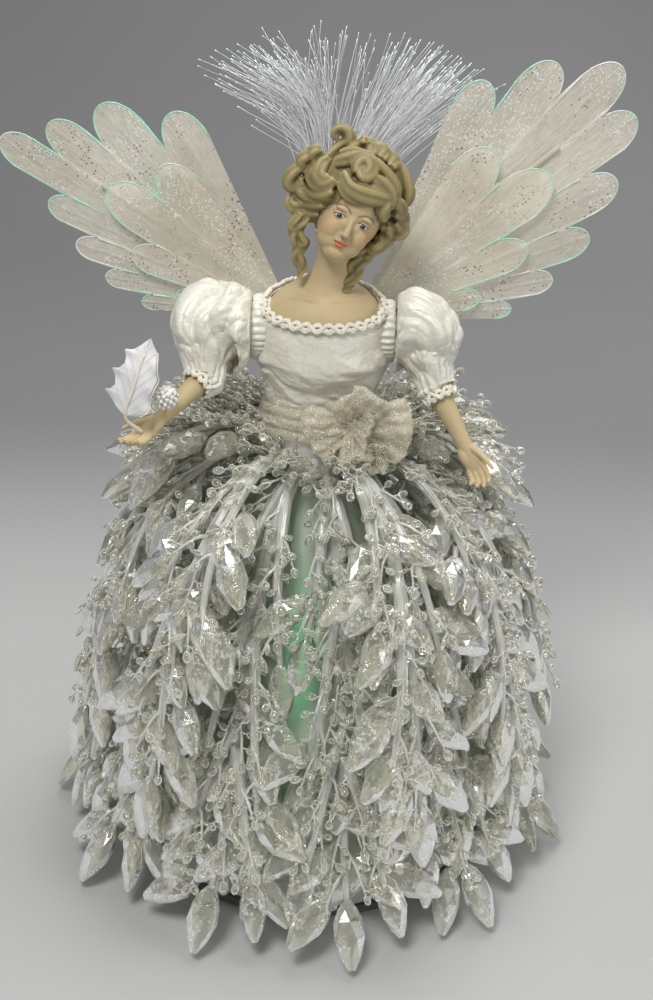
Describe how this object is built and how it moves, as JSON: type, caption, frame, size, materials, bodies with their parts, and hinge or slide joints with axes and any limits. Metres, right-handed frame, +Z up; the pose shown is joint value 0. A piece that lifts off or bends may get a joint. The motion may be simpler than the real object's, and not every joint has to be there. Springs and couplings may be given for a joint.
{
  "type": "angel figurine",
  "caption": "Angel half doll with puffed sleeves and feathered wings on a bell of clear faceted sprays, lit from its base, with a tuft of optical fibres behind the head",
  "frame": {"origin": "middle of the base's underside, on the surface that the figurine stands on", "axes": "+Z up, the angel faces -Y, +X is the angel's left hand"},
  "size_m": [0.2818, 0.2483, 0.3921],
  "materials": {
    "casing": "moulded, satin",
    "inlet": "moulded black",
    "ceramic": "unglazed white ceramic",
    "lamp": "mirrored glass reflector",
    "steel": "plain sheet and wire",
    "colour_film": "clear tinted panes",
    "frosted_shell": "frosted, translucent",
    "green_skirt": "thin gathered film, lit from inside",
    "crystal": "clear faceted acrylic with milky ribs",
    "satin": "soft sheen satin",
    "gimp": "woven cream gimp",
    "bisque": "painted bisque, matt",
    "tulle": "glittered beige tulle",
    "fibre": "clear drawn fibre",
    "leaf_cloth": "pale cloth on wire",
    "glitter": "beads and glitter",
    "wing_cloth": "translucent glittered film"
  },
  "bodies": {
    "figure": {"base_plate": "casing", "power_inlet": "inlet", "lamp_socket": "ceramic", "reflector_lamp": "lamp", "wheel_motor": "steel", "lamp_housing": "steel", "fibre_ferrule": "steel", "skirt_cone": "frosted_shell", "overskirt": "green_skirt", "spray_collar": "casing", "long_spray_1": "crystal", "long_spray_2": "crystal", "long_spray_3": "crystal", "long_spray_4": "crystal", "long_spray_5": "crystal", "long_spray_6": "crystal", "long_spray_7": "crystal", "long_spray_8": "crystal", "long_spray_9": "crystal", "long_spray_10": "crystal", "middle_spray_1": "crystal", "middle_spray_2": "crystal", "middle_spray_3": "crystal", "middle_spray_4": "crystal", "middle_spray_5": "crystal", "middle_spray_6": "crystal", "middle_spray_7": "crystal", "middle_spray_8": "crystal", "upper_spray_1": "crystal", "upper_spray_2": "crystal", "upper_spray_3": "crystal", "upper_spray_4": "crystal", "torso_core": "casing", "bodice": "satin", "neckline_braid": "gimp", "bust": "bisque", "waist_sash": "tulle", "sash_bow": "tulle", "fibre_trunk": "fibre", "fibre_tuft": "fibre", "wing_bracket": "casing"},
    "wheel": {"colour_wheel": "colour_film"},
    "right_arm": {"right_arm_wire": "steel", "right_forearm": "bisque", "right_sleeve": "satin", "right_cuff_braid": "gimp", "cloth_leaf": "leaf_cloth", "beaded_berry": "glitter"},
    "left_arm": {"left_arm_wire": "steel", "left_forearm": "bisque", "left_sleeve": "satin", "left_cuff_braid": "gimp"},
    "right_wing": {"right_wing_wire": "steel", "right_wing_back_feathers": "wing_cloth", "right_wing_front_feathers": "wing_cloth"},
    "left_wing": {"left_wing_wire": "steel", "left_wing_back_feathers": "wing_cloth", "left_wing_front_feathers": "wing_cloth"}
  },
  "joints": [
    {"name": "colour_wheel_spin", "type": "hinge", "parent": "figure", "child": "wheel", "pos_m": [0.011, 0, 0], "axis": [0, 0, 1], "continuous": true},
    {"name": "right_arm_swing", "type": "hinge", "parent": "figure", "child": "right_arm", "pos_m": [-0.022, 0, 0.2561], "axis": [-1, 0, 0], "range_deg": [0, 45]},
    {"name": "left_arm_swing", "type": "hinge", "parent": "figure", "child": "left_arm", "pos_m": [0.022, 0, 0.2561], "axis": [-1, 0, 0], "range_deg": [0, 45]},
    {"name": "right_wing_tilt", "type": "hinge", "parent": "figure", "child": "right_wing", "pos_m": [-0.0145, 0.0319, 0.2501], "axis": [0, 1, 0], "range_deg": [-15, 15]},
    {"name": "left_wing_tilt", "type": "hinge", "parent": "figure", "child": "left_wing", "pos_m": [0.0145, 0.0319, 0.2501], "axis": [0, 1, 0], "range_deg": [-15, 15]}
  ]
}
